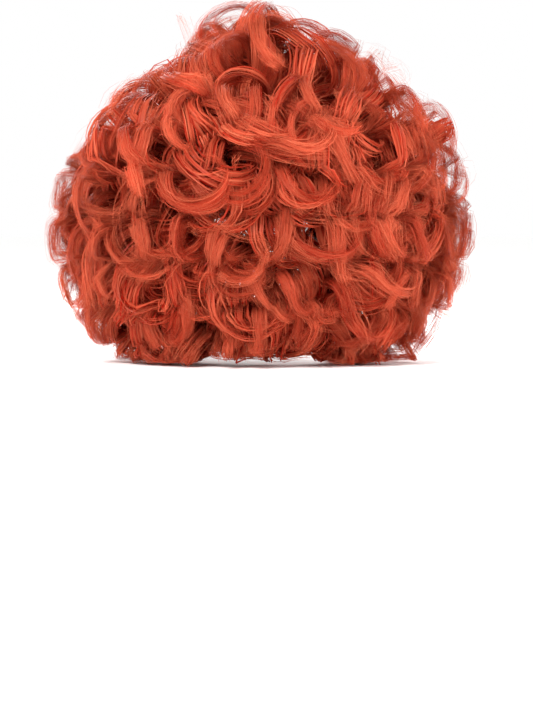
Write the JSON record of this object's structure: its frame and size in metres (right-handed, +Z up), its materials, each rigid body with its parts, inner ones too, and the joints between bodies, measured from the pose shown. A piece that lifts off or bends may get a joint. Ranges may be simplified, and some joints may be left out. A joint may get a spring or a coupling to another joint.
{
  "type": "costume wig",
  "caption": "Big curly costume wig: rows of loose barrel curls on wefts sewn to a stretch net cap, with folding ear tabs and hook-and-loop nape adjusters.",
  "frame": {"origin": "middle of the wearer's head at the cap's widest level", "axes": "+X to the wearer's left, +Y out of the back of the head, +Z up; the face opening is at -Y"},
  "size_m": [0.388, 0.3525, 0.334],
  "materials": {
    "curled_hair": "fine synthetic hair in loose curls, silky",
    "stretch_net": "knitted stretch net",
    "felt_band": "brushed soft felt",
    "elastic": "woven elastic",
    "weft_stitching": "machine-stitched hair wefting",
    "stay_plastic": "bendable extruded strip",
    "hook_plastic": "moulded nylon",
    "label_satin": "blank satin ribbon"
  },
  "bodies": {
    "wig": {"adjuster_casing_left": "elastic", "adjuster_casing_right": "elastic", "adjuster_loop_tape_left": "elastic", "adjuster_loop_tape_right": "elastic", "back_net": "stretch_net", "care_label": "label_satin", "crown_net": "stretch_net", "ear_binding_left": "felt_band", "ear_binding_right": "felt_band", "front_band": "felt_band", "hair_back_1": "curled_hair", "hair_back_2": "curled_hair", "hair_back_3": "curled_hair", "hair_back_4": "curled_hair", "hair_back_5": "curled_hair", "hair_back_6": "curled_hair", "hair_back_7": "curled_hair", "hair_back_8": "curled_hair", "hair_crown": "curled_hair", "hair_front_1": "curled_hair", "hair_front_2": "curled_hair", "hair_front_3": "curled_hair", "hair_front_4": "curled_hair", "hair_temple_left": "curled_hair", "hair_temple_right": "curled_hair", "nape_band": "felt_band", "rib_centre": "elastic", "rib_inner_left": "elastic", "rib_inner_right": "elastic", "rib_outer_left": "elastic", "rib_outer_right": "elastic", "weft_back_1": "weft_stitching", "weft_back_2": "weft_stitching", "weft_back_3": "weft_stitching", "weft_back_4": "weft_stitching", "weft_back_5": "weft_stitching", "weft_back_6": "weft_stitching", "weft_back_7": "weft_stitching", "weft_back_8": "weft_stitching", "weft_crown": "weft_stitching", "weft_front_1": "weft_stitching", "weft_front_2": "weft_stitching", "weft_front_3": "weft_stitching", "weft_front_4": "weft_stitching", "weft_temple_left": "weft_stitching", "weft_temple_right": "weft_stitching"},
    "ear_tab_left_flap": {"ear_tab_left": "felt_band", "ear_stay_left": "stay_plastic", "ear_facing_left": "felt_band"},
    "adjuster_left_slider": {"adjuster_strap_left": "elastic", "adjuster_hook_left": "hook_plastic"},
    "ear_tab_right_flap": {"ear_tab_right": "felt_band", "ear_stay_right": "stay_plastic", "ear_facing_right": "felt_band"},
    "adjuster_right_slider": {"adjuster_strap_right": "elastic", "adjuster_hook_right": "hook_plastic"}
  },
  "joints": [
    {"name": "ear_tab_left_fold", "type": "hinge", "parent": "wig", "child": "ear_tab_left_flap", "pos_m": [0.06728, -0.036, 0.002], "axis": [0.3166, 0.9357, -0.1559], "range_deg": [0, 25]},
    {"name": "adjuster_left_slide_round", "type": "hinge", "parent": "wig", "child": "adjuster_left_slider", "pos_m": [0, 0.03003, -0.072], "axis": [0, 0, 1], "range_deg": [0, 21]},
    {"name": "ear_tab_right_fold", "type": "hinge", "parent": "wig", "child": "ear_tab_right_flap", "pos_m": [-0.06728, -0.036, 0.002], "axis": [0.3166, -0.9357, 0.1559], "range_deg": [0, 25]},
    {"name": "adjuster_right_slide_round", "type": "hinge", "parent": "wig", "child": "adjuster_right_slider", "pos_m": [0, 0.03003, -0.072], "axis": [0, 0, -1], "range_deg": [0, 21]}
  ]
}
